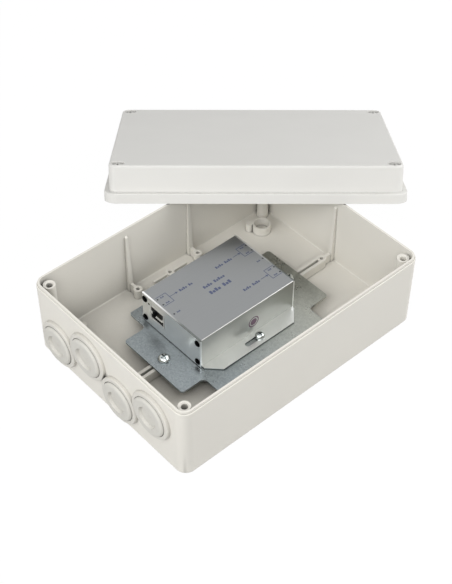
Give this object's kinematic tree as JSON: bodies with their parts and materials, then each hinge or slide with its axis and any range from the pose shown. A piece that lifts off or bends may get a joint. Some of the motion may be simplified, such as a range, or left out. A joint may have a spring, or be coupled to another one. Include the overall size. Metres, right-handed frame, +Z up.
{
  "type": "powered network extender in a junction box",
  "caption": "Open weatherproof junction box with a powered network extender on a cross-shaped plate, grommeted cable entries along one end and the box's lid leaning on its rim.",
  "frame": {"origin": "centre of the box's underside", "axes": "+X along the box away from its cable entries, +Y across the box towards the lid that leans on it, +Z up out of the open box"},
  "size_m": [0.3904, 0.3321, 0.0949],
  "materials": {
    "box_plastic": "fine satin moulded plastic, warm pale grey",
    "lid_plastic": "fine satin moulded plastic, pale grey",
    "grommet_rubber": "soft matt, pale grey",
    "gasket_rubber": "matt foam rubber, dark grey",
    "plate_steel": "zinc plated sheet with a faint bluish speckle",
    "screw_zinc": "bright zinc",
    "case_aluminium": "extruded and brushed along its length",
    "screw_black": "satin black oxide",
    "board_green": "satin solder mask",
    "shield_metal": "bright folded sheet",
    "black_plastic": "satin",
    "contact_gold": "polished",
    "lamp_plastic": "translucent lens",
    "ferrite": "matt ferrite",
    "can_aluminium": "sleeved can"
  },
  "bodies": {
    "root": {"enclosure_base": "box_plastic", "cable_entry_grommets": "grommet_rubber", "enclosure_lid": "lid_plastic", "lid_gasket": "gasket_rubber", "lid_screws": "lid_plastic", "mounting_plate": "plate_steel", "plate_screws": "screw_zinc", "module_case": "case_aluminium", "module_screws": "screw_zinc", "inlet_end_plate": "case_aluminium", "outlet_end_plate": "case_aluminium", "inlet_end_screws": "screw_black", "outlet_end_screws": "screw_black", "circuit_board": "board_green", "inlet_jack_shield": "shield_metal", "inlet_jack_insert": "black_plastic", "outlet_jack_shields": "shield_metal", "outlet_jack_inserts": "black_plastic", "jack_contacts": "contact_gold", "indicator_lamps": "lamp_plastic", "network_transformers": "black_plastic", "power_inductor": "ferrite", "smoothing_capacitors": "can_aluminium", "controller_chip": "black_plastic", "bridge_rectifiers": "black_plastic"}
  },
  "joints": []
}
